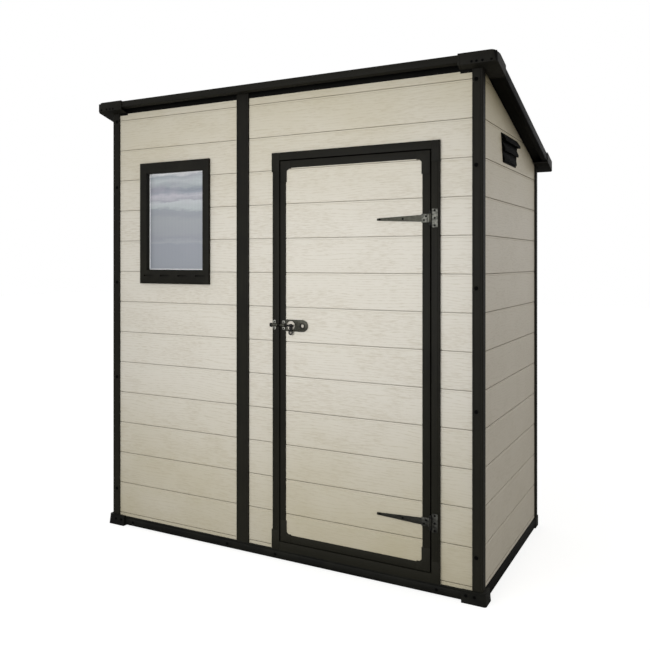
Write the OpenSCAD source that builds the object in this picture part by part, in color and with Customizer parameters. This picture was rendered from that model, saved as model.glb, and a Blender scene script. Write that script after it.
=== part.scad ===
// Resin garden shed with a single-slope roof, one door and one fixed window.
// Millimetres. The origin is at ground level under the middle of the roof.
// +X runs to the right along the front, +Y to the rear, +Z up.

/* [Body] */
// Width over the corner posts
body_w = 1750; // [1500:10:2400]
// Depth over the corner posts
body_d = 1020; // [800:10:1600]
// Thickness of the double-wall panels
wall_t = 20; // [12:1:30]
// How far posts and base rails stand proud of the panels
trim_t = 8; // [4:1:14]
// Front leg of each corner post
post_w = 40; // [30:1:60]
// Side leg of each corner post
post_side_w = 36; // [30:1:60]
// Radius on the outer corner of each corner post
post_r = 5; // [1:0.5:8]
// Width of the posts that cover the panel joints
mid_post_w = 61; // [40:1:80]
// Width of the window's panel between its two posts
window_panel_w = 655; // [500:1:670]

/* [Base] */
// Gap between the ground and the base rails
rail_lift = 4; // [3:1:8]
// Height of the base rails
rail_h = 39; // [30:1:60]
// Height of the corner feet
foot_h = 47; // [46:1:60]
// How far a foot stands out at the ground
foot_out = 14; // [8:1:20]
// How far a foot leans back from the ground to its top
foot_draft = 4; // [1:0.5:6]
// Length of a foot along the front, from the body's corner
foot_front_l = 77; // [60:1:120]
// Length of a foot along the side, from the body's corner
foot_side_l = 58; // [50:1:120]

/* [Roof] */
// Height of the roof's front top edge
roof_front_z = 2007; // [1950:1:2450]
// Slope of the roof, down to the rear
roof_angle = 14.7; // [8:0.1:16]
// Thickness of the roof, measured upright
roof_t = 37; // [25:1:60]
// Width of the edge pieces round the roof, seen from above
roof_edge_w = 22; // [15:1:30]
// Overhang at the front and the rear
end_overhang = 36; // [30:1:60]
// Overhang at the sides
side_overhang = 58; // [30:1:100]
// Thickness of the corner caps
cap_t = 3; // [2:0.5:5]
// Length of a cap along the front and the rear
cap_end_l = 141; // [100:1:180]
// Length of a cap along the sides
cap_side_l = 125; // [100:1:180]
// How far the roof panel's underside lies above the lower edge of the edge pieces
soffit_rise = 17; // [10:1:20]
// How far the trim over the front and rear walls reaches below the edge pieces
top_trim_h = 8; // [4:1:15]
// Height of the trim between a side wall and the roof panel
side_trim_h = 5; // [3:1:8]
// Gap between pieces that meet on the roof's slope
slope_gap = 0.1; // [0.05:0.05:0.3]

/* [Door] */
// Width over the door frame
door_frame_w = 723; // [600:1:900]
// Height of the top of the door frame
door_frame_z = 1709; // [1600:1:1720]
// Width of the jambs
jamb_w = 36; // [30:1:45]
// Height of the frame's head
head_h = 32; // [25:1:45]
// Height of the threshold above the base rail
sill_h = 35; // [20:1:45]
// Depth of the door frame, front to back
frame_d = 50; // [46:1:60]
// How far the door frame stands proud of the posts
frame_proud = 2; // [0:0.5:4]
// Width of the stop behind the leaf
stop_w = 12; // [8:1:16]
// Thickness of the stop
stop_t = 15; // [8:1:18]
// Gap between leaf and frame on the hinge side, above and below
leaf_gap = 5; // [5:0.5:7]
// Gap between leaf and frame on the latch side
latch_gap = 6; // [6:0.5:8]
// Gap between the leaf and the stop behind it
stop_gap = 5; // [5:0.5:6]
// Width of the dark edge round the leaf
leaf_edge_w = 30; // [24:1:45]
// How far the leaf's panel lies below its edge, on each face
leaf_recess = 3; // [1:0.5:5]

/* [Hinges] */
// Heights of the two hinges
hinge_z = [270, 1416];
// Thickness of the straps and jamb plates
strap_t = 2.5; // [2:0.5:3]
// Length of the tapered strap from its root
strap_l = 178; // [120:1:250]
// Height of the strap where the taper starts
strap_h = 26; // [20:1:30]
// Height of the strap at its tip
strap_tip_h = 9; // [6:1:12]
// Height of the square root of the strap
strap_root_h = 33; // [31:1:36]
// Width of the square root of the strap
strap_root_w = 33; // [25:1:40]
// Width of the plate on the jamb
jamb_plate_w = 20; // [16:1:24]
// Height of the plate on the jamb
jamb_plate_h = 71; // [62:1:80]
// Radius of the knuckles
knuckle_r = 5; // [4:0.5:6]
// Radius of the hinge pin
pin_r = 2.5; // [2:0.1:3]
// Height of each knuckle on the jamb
jamb_knuckle_h = 10; // [8:1:12]

/* [Latch] */
// Height of the latch
latch_z = 986.5; // [900:0.5:1100]
// Thickness of the latch's plates
latch_t = 2; // [1.5:0.5:3]
// Radius of the bolt
bolt_r = 4; // [3:0.5:5]
// How far the bolt slides
bolt_travel = 20; // [12:1:20]
// Length of the bolt to the right of its collar
bolt_tail = 8; // [4:1:10]
// Outer radius of the bolt's guide and of its keep
guide_r = 6.5; // [6:0.5:8]
// Length of the guide
guide_l = 20; // [14:1:20]
// Length of the keep
keep_l = 42; // [30:1:50]
// Reach of the fixing ears from the bolt's axis
ear_reach = 19; // [16:1:24]
// Width of the fixing ears
ear_w = 14; // [10:1:16]
// Height of the plate on the leaf
plate_h = 49; // [40:1:60]
// Length of the plate beyond the leaf's edge strip
plate_l = 98; // [90:1:120]
// Width of the window in the plate, under the bolt's collar
plate_window_w = 26; // [24:1:30]
// Radius of the hole at the plate's round end
plate_hole_r = 6; // [4:0.5:8]
// Outer radius of the bolt's eye
eye_r = 10; // [9:0.5:12]
// Radius of the hole in the eye
eye_hole_r = 4.5; // [3:0.5:6]

/* [Window] */
// Width over the window frame
window_w = 393; // [300:1:420]
// Height of the window frame's lower edge
window_z = 1150.5; // [900:0.5:1200]
// Height over the window frame
window_h = 558.5; // [400:0.5:600]
// Width of the frame's sides
window_side_w = 38.5; // [25:0.5:50]
// Height of the frame's head
window_head_h = 43; // [25:1:60]
// Height of the frame's foot
window_foot_h = 64; // [30:1:80]
// How far the window frame stands proud of the posts
window_proud = 4; // [0:1:8]
// Overlap of the frame on the panel round its hole
window_lap = 15; // [8:1:20]
// Thickness of the pane
pane_t = 4; // [2:0.5:6]
// Depth of the pane behind the frame's front
pane_depth = 22; // [14:1:24]
// How far the pane reaches into the frame
pane_bite = 6; // [3:1:10]

/* [Vents] */
// Middle of the vents, from the middle of the side
vent_y = -53; // [-80:1:40]
// How far a vent's highest corner lies below the line of the roof's lower edge
vent_drop = 34.7; // [10:0.1:150]
// Height of a vent
vent_h = 115; // [90:1:130]
// Width of a vent at its top
vent_top_w = 295; // [240:1:340]
// Width of a vent at its foot
vent_foot_w = 227; // [200:1:240]
// Thickness of the vent's plate and hoods
vent_t = 3; // [2:0.5:4]
// Number of hoods
vent_hoods = 3; // [2:1:4]
// How far the lowest hood stands out from the plate
hood_out = 4; // [4:1:10]
// How much further each hood above it stands out
hood_step = 5.5; // [2:0.5:7]
// Height of a hood's lower edge above its foot line
hood_lift = 12; // [8:1:16]
// Height of the slot under each hood
slot_h = 14; // [8:1:18]
// Margin between the wall's hole and the vent's outline
vent_margin = 14; // [8:1:18]

/* [Hidden] */
$fn = 48;

panel_colour = "#cfc9ba";
trim_colour = "#26261f";
metal_colour = "#3b3c3a";
glass_colour = "#8f98a3";

// Plan: half sizes of the body, of the panels' outer and inner faces, and of the roof
half_w = body_w / 2;
half_d = body_d / 2;
panel_x = half_w - trim_t;
panel_y = half_d - trim_t;
inner_x = panel_x - wall_t;
inner_y = panel_y - wall_t;
roof_x = half_w + side_overhang;
roof_y = half_d + end_overhang;
wall_z = rail_lift + rail_h;
eps = 0.01;
// How far a cut runs past the faces that it goes through
cut_over = 1;

// Front, from the left: window panel, post over the joint, door in the middle of the rest
mid_post_left = -half_w + post_w + window_panel_w;
mid_post_x = mid_post_left + mid_post_w / 2;
window_x = mid_post_left - window_panel_w / 2;
door_x = (mid_post_left + mid_post_w + half_w - post_w) / 2;

// Height of the edge pieces' lower edge at depth y, and steps from it to what meets the roof
function roof_under(y) = roof_front_z - roof_t - tan(roof_angle) * (y + roof_y);
post_step = soffit_rise - slope_gap;
side_trim_foot = soffit_rise - side_trim_h;
side_wall_step = side_trim_foot - slope_gap;
end_wall_step = -top_trim_h - slope_gap;

// Door: frame opening and leaf
frame_left = door_x - door_frame_w / 2;
frame_right = door_x + door_frame_w / 2;
frame_front = -half_d - frame_proud;
frame_back = frame_front + frame_d;
sill_top = wall_z + sill_h;
head_under = door_frame_z - head_h;
leaf_left = frame_left + jamb_w + latch_gap;
leaf_right = frame_right - jamb_w - leaf_gap;
leaf_foot = sill_top + leaf_gap;
leaf_top = head_under - leaf_gap;
leaf_back = frame_back - stop_t - stop_gap;
panel_left = leaf_left + leaf_edge_w;
panel_right = leaf_right - leaf_edge_w;

// Hinges: the pin stands in the gap, with its knuckles just clear of the faces
hinge_x = leaf_right + leaf_gap / 2;
face_clear = 0.3;
hinge_y = frame_front - knuckle_r - face_clear;
pin_clear = 0.1;
knuckle_gap = 1;
root_left = leaf_right - strap_root_w;
pin_half_h = strap_root_h / 2 + knuckle_gap + jamb_knuckle_h;

// Latch: everything follows the edge of the leaf and the bolt's axis
barrel_clear = 0.5;
bolt_y = frame_front - latch_t - barrel_clear - guide_r;
bore_clear = 0.3;
keep_clear = 0.4;
tip_out = 0.5;
bolt_tip_x = leaf_left - tip_out;
keep_inset = 1;
keep_right = frame_left + jamb_w - keep_inset;
keep_ear_shift = 4;
keep_ear_x = frame_left + jamb_w / 2 - keep_ear_shift;
guide_inset = 6;
guide_left = leaf_left + guide_inset;
plate_lap = 4;
plate_boss_w = 5;
plate_window_inset = 10;
window_left = panel_left + plate_window_inset;
window_right = window_left + plate_window_w;
plate_window_h = 40;
collar_r = 6.5;
collar_l = 8;
collar_gap = 3;
collar_left = guide_left + guide_l + bolt_travel + collar_gap;
eye_t = 4;
eye_drop = 29;
tab_w = 6;
ear_end_r = 7;

// Window: the hole in the panel, the daylight opening and the pane's plane
window_front = -half_d - window_proud;
hole_left = window_x - window_w / 2 + window_lap;
hole_right = window_x + window_w / 2 - window_lap;
hole_foot = window_z + window_lap;
hole_top = window_z + window_h - window_lap;
light_left = window_x - window_w / 2 + window_side_w;
light_right = window_x + window_w / 2 - window_side_w;
light_foot = window_z + window_foot_h;
light_top = window_z + window_h - window_head_h;
pane_front = window_front + pane_depth;

// Vents: the corner nearest the roof sets their height
vent_top = roof_under(vent_y + vent_top_w / 2) - vent_drop;
vent_foot = vent_top - vent_h;
vent_z = vent_top - vent_h / 2;
hood_h = vent_h / vent_hoods;
hood_root_h = 4.8;
vent_hole_w = vent_foot_w - 2 * vent_margin;
vent_hole_h = vent_h - 2 * vent_margin;
function vent_half_w(z) = vent_foot_w / 2 + (vent_top_w - vent_foot_w) / 2 * (z - vent_foot) / vent_h;

// ---- shared shapes ----

// Block between two corners
module block(x, y, z) {
    translate([x[0], y[0], z[0]])
        cube([x[1] - x[0], y[1] - y[0], z[1] - z[0]]);
}

// Outline in the side view (depth, height), drawn out along X
module side_prism(x, outline) {
    translate([x[0], 0, 0])
        rotate([90, 0, 90])
            linear_extrude(x[1] - x[0])
                polygon(outline);
}

// Outline in the front view (width, height), drawn out along Y
module front_prism(y, outline) {
    translate([0, y[1], 0])
        rotate([90, 0, 0])
            linear_extrude(y[1] - y[0])
                polygon(outline);
}

// Upright slab whose top follows the roof, a step above or below the edge pieces' lower edge
module wall_slab(x, y, step) {
    side_prism(x, [
        [y[0], wall_z],
        [y[1], wall_z],
        [y[1], roof_under(y[1]) + step],
        [y[0], roof_under(y[0]) + step]
    ]);
}

// Slab between two planes parallel to the roof's underside
module roof_slab(x, y, low, high) {
    side_prism(x, [
        [y[0], roof_under(y[0]) + low],
        [y[1], roof_under(y[1]) + low],
        [y[1], roof_under(y[1]) + high],
        [y[0], roof_under(y[0]) + high]
    ]);
}

// Mirrors what is drawn for the right rear corner to another corner
module at_corner(right, rear) {
    mirror([right ? 0 : 1, 0, 0])
        mirror([0, rear ? 0 : 1, 0])
            children();
}

// Cylinder along X from one place to another
module rod_x(x, r) {
    translate([x[0], 0, 0])
        rotate([0, 90, 0])
            cylinder(h = x[1] - x[0], r = r);
}

// ---- base ----

module floor_panel() {
    color(trim_colour)
        block([-inner_x, inner_x], [-inner_y, inner_y], [0, wall_z]);
}

module end_base_rail(side) {
    y = side < 0 ? [-half_d, -inner_y] : [inner_y, half_d];
    color(trim_colour)
        block([-inner_x, inner_x], y, [rail_lift, wall_z]);
}

module front_base_rail() {
    end_base_rail(-1);
}

module rear_base_rail() {
    end_base_rail(1);
}

module side_base_rail(side) {
    x = side < 0 ? [-half_w, -inner_x] : [inner_x, half_w];
    color(trim_colour)
        block(x, [-half_d, half_d], [rail_lift, wall_z]);
}

module left_base_rail() {
    side_base_rail(-1);
}

module right_base_rail() {
    side_base_rail(1);
}

// Boot round the corner of the rails, leaning back a little towards its top
module foot() {
    foot_x = half_w + foot_out;
    foot_y = half_d + foot_out;
    difference() {
        intersection() {
            union() {
                block([half_w - foot_front_l, foot_x], [inner_y, foot_y], [0, foot_h]);
                block([inner_x, foot_x], [half_d - foot_side_l, foot_y], [0, foot_h]);
            }
            front_prism([0, foot_y], [[0, 0], [foot_x, 0], [foot_x - foot_draft, foot_h], [0, foot_h]]);
            side_prism([0, foot_x], [[0, 0], [foot_y, 0], [foot_y - foot_draft, foot_h], [0, foot_h]]);
        }
        block([0, half_w], [0, half_d], [rail_lift, foot_h + cut_over]);
    }
}

module corner_feet() {
    color(trim_colour)
        for (right = [true, false], rear = [true, false])
            at_corner(right, rear) foot();
}

// ---- walls ----

module front_wall_window_side() {
    color(panel_colour)
        difference() {
            wall_slab([-inner_x, mid_post_x], [-panel_y, -inner_y], end_wall_step);
            block([hole_left, hole_right], [-panel_y - cut_over, -inner_y + cut_over],
                [hole_foot, hole_top]);
        }
}

module front_wall_latch_side() {
    color(panel_colour)
        wall_slab([mid_post_x, frame_left], [-panel_y, -inner_y], end_wall_step);
}

module front_wall_hinge_side() {
    color(panel_colour)
        wall_slab([frame_right, inner_x], [-panel_y, -inner_y], end_wall_step);
}

module front_wall_over_door() {
    color(panel_colour)
        difference() {
            wall_slab([frame_left, frame_right], [-panel_y, -inner_y], end_wall_step);
            block([frame_left - cut_over, frame_right + cut_over],
                [-panel_y - cut_over, -inner_y + cut_over], [0, door_frame_z]);
        }
}

module side_wall(side) {
    x = side < 0 ? [-panel_x, -inner_x] : [inner_x, panel_x];
    color(panel_colour)
        difference() {
            wall_slab(x, [-panel_y, panel_y], side_wall_step);
            translate([0, vent_y, vent_z])
                block([x[0] - cut_over, x[1] + cut_over], [-vent_hole_w / 2, vent_hole_w / 2],
                    [-vent_hole_h / 2, vent_hole_h / 2]);
        }
}

module left_wall() {
    side_wall(-1);
}

module right_wall() {
    side_wall(1);
}

module rear_wall_left() {
    color(panel_colour)
        wall_slab([-inner_x, mid_post_x], [inner_y, panel_y], end_wall_step);
}

module rear_wall_right() {
    color(panel_colour)
        wall_slab([mid_post_x, inner_x], [inner_y, panel_y], end_wall_step);
}

// ---- posts and top trims ----

// Angle-shaped cover of the right rear corner, seen from above
module post_outline() {
    translate([half_w - post_w, panel_y])
        square([post_w - post_r, trim_t]);
    translate([panel_x, half_d - post_side_w])
        square([trim_t, post_side_w - post_r]);
    intersection() {
        translate([panel_x, panel_y])
            square([trim_t, trim_t]);
        union() {
            translate([half_w - post_r, half_d - post_r])
                circle(r = post_r);
            translate([panel_x, panel_y])
                square([trim_t, trim_t - post_r]);
            translate([panel_x, panel_y])
                square([trim_t - post_r, trim_t]);
        }
    }
}

module corner_post(right, rear) {
    y = rear ? [0, roof_y] : [-roof_y, 0];
    color(trim_colour)
        intersection() {
            at_corner(right, rear)
                translate([0, 0, wall_z])
                    linear_extrude(roof_front_z)
                        post_outline();
            wall_slab([-roof_x, roof_x], y, post_step);
        }
}

module front_left_post() {
    corner_post(false, false);
}

module front_right_post() {
    corner_post(true, false);
}

module rear_left_post() {
    corner_post(false, true);
}

module rear_right_post() {
    corner_post(true, true);
}

module mid_post(y) {
    color(trim_colour)
        wall_slab([mid_post_left, mid_post_left + mid_post_w], y, post_step);
}

module front_mid_post() {
    mid_post([-half_d, -panel_y]);
}

module rear_mid_post() {
    mid_post([panel_y, half_d]);
}

module end_top_trims() {
    color(trim_colour) {
        roof_slab([-inner_x, inner_x], [-panel_y, -inner_y], -top_trim_h, post_step);
        roof_slab([-inner_x, inner_x], [inner_y, panel_y], -top_trim_h, post_step);
    }
}

module side_top_trims() {
    color(trim_colour) {
        roof_slab([-panel_x, -inner_x], [-panel_y, panel_y], side_trim_foot, post_step);
        roof_slab([inner_x, panel_x], [-panel_y, panel_y], side_trim_foot, post_step);
    }
}

// ---- roof ----

module roof_panel() {
    color(trim_colour)
        roof_slab([-roof_x + roof_edge_w, roof_x - roof_edge_w],
            [-roof_y + roof_edge_w, roof_y - roof_edge_w], soffit_rise, roof_t);
}

module fascia(y) {
    color(trim_colour)
        roof_slab([-roof_x + roof_edge_w, roof_x - roof_edge_w], y, 0, roof_t);
}

module front_fascia() {
    fascia([-roof_y, -roof_y + roof_edge_w]);
}

module rear_fascia() {
    fascia([roof_y - roof_edge_w, roof_y]);
}

module rake(x) {
    color(trim_colour)
        roof_slab(x, [-roof_y, roof_y], 0, roof_t);
}

module left_rake() {
    rake([-roof_x, -roof_x + roof_edge_w]);
}

module right_rake() {
    rake([roof_x - roof_edge_w, roof_x]);
}

// Shell over one corner of the roof, from the body's faces outwards
module corner_cap(right, rear) {
    x_out = roof_x + cap_t;
    y_out = roof_y + cap_t;
    x_side = right ? [half_w, x_out] : [-x_out, -half_w];
    x_end = right ? [roof_x - cap_end_l, x_out] : [-x_out, -roof_x + cap_end_l];
    y_side = rear ? [roof_y - cap_side_l, y_out] : [-y_out, -roof_y + cap_side_l];
    y_end = rear ? [half_d, y_out] : [-y_out, -half_d];
    difference() {
        union() {
            roof_slab(x_side, y_side, -cap_t, roof_t + cap_t);
            roof_slab(x_end, y_end, -cap_t, roof_t + cap_t);
        }
        roof_slab([-roof_x - slope_gap, roof_x + slope_gap], [-roof_y - slope_gap, roof_y + slope_gap],
            -slope_gap, roof_t + slope_gap);
    }
}

module roof_corner_caps() {
    color(trim_colour)
        for (right = [true, false], rear = [true, false])
            corner_cap(right, rear);
}

// ---- door frame ----

// Jamb with the stop behind the leaf
module door_jamb(x, stop_x) {
    color(trim_colour) {
        block(x, [frame_front, frame_back], [wall_z, door_frame_z]);
        block(stop_x, [frame_back - stop_t, frame_back], [sill_top, head_under - stop_w]);
    }
}

module door_jamb_latch_side() {
    inner = frame_left + jamb_w;
    door_jamb([frame_left, inner], [inner - eps, inner + stop_w]);
}

module door_jamb_hinge_side() {
    inner = frame_right - jamb_w;
    door_jamb([inner, frame_right], [inner - stop_w, inner + eps]);
}

module door_head() {
    x = [frame_left + jamb_w, frame_right - jamb_w];
    color(trim_colour) {
        block(x, [frame_front, frame_back], [head_under, door_frame_z]);
        block(x, [frame_back - stop_t, frame_back], [head_under - stop_w, head_under + eps]);
    }
}

module door_sill() {
    color(trim_colour)
        block([frame_left + jamb_w, frame_right - jamb_w], [frame_front, frame_back], [wall_z, sill_top]);
}

// ---- window ----

module window_frame() {
    color(trim_colour)
        difference() {
            union() {
                block([window_x - window_w / 2, window_x + window_w / 2], [window_front, -panel_y],
                    [window_z, window_z + window_h]);
                block([hole_left, hole_right], [window_front, -inner_y], [hole_foot, hole_top]);
            }
            block([light_left, light_right], [window_front - cut_over, -inner_y + cut_over],
                [light_foot, light_top]);
            block([light_left - pane_bite, light_right + pane_bite], [pane_front, pane_front + pane_t],
                [light_foot - pane_bite, light_top + pane_bite]);
        }
}

module window_pane() {
    color(glass_colour, 0.6)
        block([light_left - pane_bite, light_right + pane_bite], [pane_front, pane_front + pane_t],
            [light_foot - pane_bite, light_top + pane_bite]);
}

// ---- vents ----

// Plate with hooded slots on the right wall
module vent() {
    plate_out = panel_x + vent_t;
    difference() {
        translate([panel_x, vent_y, 0])
            rotate([90, 0, 90])
                linear_extrude(vent_t)
                    polygon([
                        [-vent_half_w(vent_foot), vent_foot],
                        [vent_half_w(vent_foot), vent_foot],
                        [vent_half_w(vent_top), vent_top],
                        [-vent_half_w(vent_top), vent_top]
                    ]);
        for (i = [0:vent_hoods - 1])
            translate([0, vent_y, vent_foot + i * hood_h])
                block([panel_x - cut_over, plate_out + cut_over], [-vent_hole_w / 2, vent_hole_w / 2],
                    [hood_h - slot_h - 2 * vent_t, hood_h - 2 * vent_t]);
    }
    for (i = [0:vent_hoods - 1])
        hood(plate_out, vent_foot + i * hood_h, hood_out + i * hood_step);
}

// Hood that slopes out and down over its slot
module hood(plate_out, foot, out) {
    half = vent_half_w(foot);
    x0 = plate_out - eps;
    x1 = plate_out + out;
    front_prism([vent_y - half, vent_y + half], [
        [x0, foot + hood_h],
        [x1, foot + hood_lift + vent_t],
        [x1, foot + hood_lift],
        [x1 - vent_t, foot + hood_lift],
        [x0, foot + hood_h - hood_root_h]
    ]);
}

module right_vent() {
    color(trim_colour)
        vent();
}

module left_vent() {
    color(trim_colour)
        mirror([1, 0, 0])
            vent();
}

// ---- hinges ----

// Plate, two knuckles and the pin, about the pin's axis
module jamb_hinge() {
    face_y = frame_front - hinge_y;
    plate_left = knuckle_r + knuckle_gap;
    low = strap_root_h / 2 + knuckle_gap;
    block([plate_left, plate_left + jamb_plate_w], [face_y - strap_t, face_y],
        [-jamb_plate_h / 2, jamb_plate_h / 2]);
    for (z = [-pin_half_h, low])
        translate([0, 0, z]) {
            cylinder(h = jamb_knuckle_h, r = knuckle_r);
            block([0, plate_left + knuckle_gap], [face_y - strap_t, knuckle_r], [0, jamb_knuckle_h]);
        }
    translate([0, 0, -pin_half_h])
        cylinder(h = 2 * pin_half_h, r = pin_r);
}

module jamb_hinge_plates() {
    color(metal_colour)
        for (z = hinge_z)
            translate([hinge_x, hinge_y, z])
                jamb_hinge();
}

// Tapered strap with its root and knuckle, about the pin's axis
module strap_hinge() {
    face_y = frame_front - hinge_y;
    root = root_left - hinge_x;
    difference() {
        union() {
            front_prism([face_y - strap_t, face_y], [
                [root - strap_l, -strap_tip_h / 2],
                [root + eps, -strap_h / 2],
                [root + eps, strap_h / 2],
                [root - strap_l, strap_tip_h / 2]
            ]);
            block([root, leaf_right - hinge_x], [face_y - strap_t, face_y],
                [-strap_root_h / 2, strap_root_h / 2]);
            block([root, 0], [face_y - strap_t, knuckle_r], [-strap_root_h / 2, strap_root_h / 2]);
            translate([0, 0, -strap_root_h / 2])
                cylinder(h = strap_root_h, r = knuckle_r);
        }
        cylinder(h = 2 * strap_root_h, r = pin_r + pin_clear, center = true);
    }
}

module strap_hinges() {
    color(metal_colour)
        for (z = hinge_z)
            translate([hinge_x, hinge_y, z])
                strap_hinge();
}

// ---- door leaf ----

module door_panel() {
    color(panel_colour)
        block([panel_left, panel_right], [frame_front + leaf_recess, leaf_back - leaf_recess],
            [leaf_foot + leaf_edge_w, leaf_top - leaf_edge_w]);
}

module door_stiles() {
    color(trim_colour) {
        block([leaf_left, panel_left], [frame_front, leaf_back], [leaf_foot, leaf_top]);
        block([panel_right, leaf_right], [frame_front, leaf_back], [leaf_foot, leaf_top]);
    }
}

module door_rail(z) {
    color(trim_colour)
        block([panel_left, panel_right], [frame_front, leaf_back], [z, z + leaf_edge_w]);
}

module door_top_rail() {
    door_rail(leaf_top - leaf_edge_w);
}

module door_bottom_rail() {
    door_rail(leaf_foot);
}

// ---- latch ----

// Barrel on two ears, about the bolt's axis
module barrel_on_ears(x, ear_x, bore) {
    base = frame_front - bolt_y;
    difference() {
        union() {
            rod_x(x, guide_r);
            block([ear_x - ear_w / 2, ear_x + ear_w / 2], [0, base], [-guide_r, guide_r]);
            block([ear_x - ear_w / 2, ear_x + ear_w / 2], [base - latch_t, base],
                [-ear_reach + ear_end_r, ear_reach - ear_end_r]);
            for (z = [-ear_reach + ear_end_r, ear_reach - ear_end_r])
                translate([ear_x, base, z])
                    rotate([90, 0, 0])
                        cylinder(h = latch_t, r = ear_w / 2);
        }
        rod_x([x[0] - cut_over, x[1] + cut_over], bore);
    }
}

module latch_keep() {
    color(metal_colour)
        translate([0, bolt_y, latch_z])
            barrel_on_ears([keep_right - keep_l, keep_right], keep_ear_x, bolt_r + keep_clear);
}

// Guide on the leaf's edge and the round-ended plate beyond it
module latch_plate() {
    base = frame_front - bolt_y;
    plate_right = panel_left + plate_l;
    end_x = plate_right - plate_h / 2;
    color(metal_colour)
        translate([0, bolt_y, latch_z]) {
            barrel_on_ears([guide_left, guide_left + guide_l], guide_left + guide_l / 2,
                bolt_r + bore_clear);
            difference() {
                union() {
                    block([guide_left, panel_left], [base - latch_t, base], [-guide_r, guide_r]);
                    block([panel_left - plate_lap, end_x], [base - latch_t, base],
                        [-plate_h / 2, plate_h / 2]);
                    translate([end_x, base, 0])
                        rotate([90, 0, 0]) {
                            cylinder(h = latch_t, r = plate_h / 2);
                            cylinder(h = 2 * latch_t, r = plate_hole_r + plate_boss_w);
                        }
                }
                block([window_left, window_right], [base - latch_t - cut_over, base + cut_over],
                    [-plate_window_h / 2, plate_window_h / 2]);
                translate([end_x, base + cut_over, 0])
                    rotate([90, 0, 0])
                        cylinder(h = 2 * (latch_t + cut_over), r = plate_hole_r);
            }
        }
}

// Bolt, drawn back, with its collar and the eye that hangs from it
module latch_bolt() {
    tab_x = collar_left + collar_l / 2;
    color(metal_colour)
        translate([0, bolt_y, latch_z])
            difference() {
                union() {
                    rod_x([bolt_tip_x, collar_left + collar_l + bolt_tail], bolt_r);
                    rod_x([collar_left, collar_left + collar_l], collar_r);
                    block([tab_x - tab_w / 2, tab_x + tab_w / 2], [-eye_t / 2, eye_t / 2],
                        [-eye_drop + (eye_r + eye_hole_r) / 2, 0]);
                    translate([tab_x, eye_t / 2, -eye_drop])
                        rotate([90, 0, 0])
                            cylinder(h = eye_t, r = eye_r);
                }
                translate([tab_x, eye_t, -eye_drop])
                    rotate([90, 0, 0])
                        cylinder(h = 2 * eye_t, r = eye_hole_r);
            }
}

floor_panel();
front_base_rail();
rear_base_rail();
left_base_rail();
right_base_rail();
corner_feet();
front_wall_window_side();
front_wall_latch_side();
front_wall_hinge_side();
front_wall_over_door();
left_wall();
right_wall();
rear_wall_left();
rear_wall_right();
front_left_post();
front_right_post();
rear_left_post();
rear_right_post();
front_mid_post();
rear_mid_post();
door_jamb_latch_side();
door_jamb_hinge_side();
door_head();
door_sill();
window_frame();
window_pane();
left_vent();
right_vent();
roof_panel();
front_fascia();
rear_fascia();
left_rake();
right_rake();
roof_corner_caps();
end_top_trims();
side_top_trims();
jamb_hinge_plates();
latch_keep();
door_panel();
door_stiles();
door_top_rail();
door_bottom_rail();
strap_hinges();
latch_plate();
latch_bolt();
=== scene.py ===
import math
import bmesh
import bpy
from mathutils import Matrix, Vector


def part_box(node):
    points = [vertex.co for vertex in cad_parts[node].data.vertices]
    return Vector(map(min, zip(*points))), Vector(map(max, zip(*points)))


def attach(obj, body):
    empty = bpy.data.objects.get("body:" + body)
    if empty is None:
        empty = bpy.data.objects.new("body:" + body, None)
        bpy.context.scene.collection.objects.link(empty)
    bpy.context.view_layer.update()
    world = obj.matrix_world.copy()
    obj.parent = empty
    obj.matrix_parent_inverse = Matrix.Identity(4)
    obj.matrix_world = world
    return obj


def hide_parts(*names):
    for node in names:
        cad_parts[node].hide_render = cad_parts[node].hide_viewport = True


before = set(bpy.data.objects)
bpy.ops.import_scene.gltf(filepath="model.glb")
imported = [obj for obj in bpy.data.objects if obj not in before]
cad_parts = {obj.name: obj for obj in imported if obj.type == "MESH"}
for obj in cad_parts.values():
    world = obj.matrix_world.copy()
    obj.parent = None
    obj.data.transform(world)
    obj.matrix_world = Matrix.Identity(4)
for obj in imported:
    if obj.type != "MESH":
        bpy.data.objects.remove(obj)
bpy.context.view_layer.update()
mm = 0.001
print("frame loaded:", len(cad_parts), "nodes")


def linearColour(code):
    channels = [int(code[i:i + 2], 16) / 255 for i in (1, 3, 5)]
    return [c / 12.92 if c <= 0.04045 else ((c + 0.055) / 1.055) ** 2.4 for c in channels] + [1.0]


def addNode(tree, kind, inputs, output=0, **settings):
    # each input is a value or another node's output
    node = tree.nodes.new("ShaderNode" + kind)
    for name, value in settings.items():
        setattr(node, name, value)
    for name, value in inputs.items():
        if isinstance(value, bpy.types.NodeSocket):
            tree.links.new(value, node.inputs[name])
        else:
            node.inputs[name].default_value = value
    return node.outputs[output]


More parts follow.
